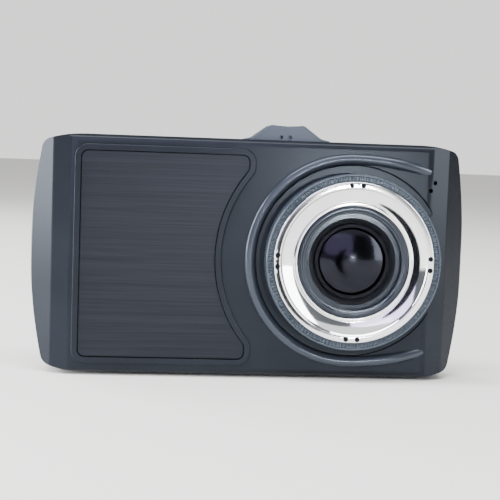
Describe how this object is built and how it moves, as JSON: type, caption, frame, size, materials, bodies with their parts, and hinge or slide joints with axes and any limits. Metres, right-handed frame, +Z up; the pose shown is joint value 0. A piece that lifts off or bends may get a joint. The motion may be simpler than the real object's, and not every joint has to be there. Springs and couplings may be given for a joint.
{
  "type": "dashboard camera",
  "caption": "Slab-shaped vehicle camera with a large ringed lens in front, a screen behind, press keys along its lower edge and a slotted shoe on top for a windscreen bracket.",
  "frame": {"origin": "middle of the mount shoe's top face, at the mouth of its bracket slot", "axes": "+X to the right seen from the front, +Y backwards from the lens to the screen, +Z up"},
  "size_m": [0.1, 0.0213, 0.0576],
  "materials": {
    "case_black": "satin moulded",
    "back_black": "fine texture",
    "plate_black": "black, brushed along its length",
    "shoe_grey": "satin moulded",
    "ring_grey": "ribbed, dark",
    "ring_bright": "bright",
    "rim_black": "gloss",
    "lens_glass": "coated",
    "inner_glass": "coated",
    "lens_black": "matt",
    "filter_pink": "coated",
    "board_green": "solder mask",
    "chip_black": "matt",
    "coil_grey": "sintered",
    "tin_bright": "tinned",
    "socket_black": "matt",
    "cell_silver": "foil",
    "foam_black": "foam",
    "wire_red": "insulated",
    "plug_cream": "moulded",
    "speaker_grey": "matt",
    "screen_black": "gloss, black printed",
    "display_grey": "gloss",
    "ribbon_amber": "film",
    "light_clear": "clear",
    "screw_black": "blackened",
    "screw_plain": "zinc",
    "key_black": "satin"
  },
  "bodies": {
    "camera": {"front_shell": "case_black", "rear_shell": "back_black", "front_plate": "plate_black", "mount_shoe": "shoe_grey", "bezel_ring": "ring_grey", "chrome_ring": "ring_bright", "lens_rim": "rim_black", "cover_glass": "lens_glass", "lens_barrel": "lens_black", "front_element": "inner_glass", "rear_element": "inner_glass", "lens_holder": "lens_black", "ir_filter": "filter_pink", "image_sensor": "chip_black", "main_board": "board_green", "processor": "chip_black", "memory_chip": "chip_black", "motion_sensor": "chip_black", "power_coils": "coil_grey", "clock_crystal": "tin_bright", "key_switches": "tin_bright", "reset_switch": "tin_bright", "usb_socket": "tin_bright", "usb_tongue": "socket_black", "av_jack": "socket_black", "card_socket": "tin_bright", "battery": "cell_silver", "battery_pad": "foam_black", "battery_leads": "wire_red", "battery_connector": "plug_cream", "speaker": "speaker_grey", "speaker_seal": "foam_black", "microphone": "tin_bright", "microphone_boot": "foam_black", "screen_glass": "screen_black", "screen_tape": "foam_black", "lcd_cushion": "foam_black", "lcd_panel": "display_grey", "lcd_tray": "tin_bright", "display_ribbon": "ribbon_amber", "ribbon_connector": "plug_cream", "status_led": "light_clear", "status_light": "light_clear", "case_screws": "screw_black", "board_screws": "screw_plain", "lens_screws": "screw_plain"},
    "power_button": {"power_key": "key_black", "power_plunger": "socket_black"},
    "menu_button": {"menu_key": "key_black", "menu_plunger": "socket_black"},
    "up_button": {"up_key": "key_black", "up_plunger": "socket_black"},
    "ok_button": {"ok_key": "key_black", "ok_plunger": "socket_black"},
    "down_button": {"down_key": "key_black", "down_plunger": "socket_black"},
    "reset_button": {"reset_plunger": "socket_black"}
  },
  "joints": [
    {"name": "power_press", "type": "slide", "parent": "camera", "child": "power_button", "axis": [0, 0, 1], "range_m": [0, 0.0004], "stiffness_N_per_m": 500, "springref_m": -0.0002},
    {"name": "menu_press", "type": "slide", "parent": "camera", "child": "menu_button", "axis": [0, 0, 1], "range_m": [0, 0.0004], "stiffness_N_per_m": 500, "springref_m": -0.0002},
    {"name": "up_press", "type": "slide", "parent": "camera", "child": "up_button", "axis": [0, 0, 1], "range_m": [0, 0.0004], "stiffness_N_per_m": 500, "springref_m": -0.0002},
    {"name": "ok_press", "type": "slide", "parent": "camera", "child": "ok_button", "axis": [0, 0, 1], "range_m": [0, 0.0004], "stiffness_N_per_m": 500, "springref_m": -0.0002},
    {"name": "down_press", "type": "slide", "parent": "camera", "child": "down_button", "axis": [0, 0, 1], "range_m": [0, 0.0004], "stiffness_N_per_m": 500, "springref_m": -0.0002},
    {"name": "reset_press", "type": "slide", "parent": "camera", "child": "reset_button", "axis": [1, 0, 0], "range_m": [0, 0.00025], "stiffness_N_per_m": 500, "springref_m": -0.0002}
  ]
}
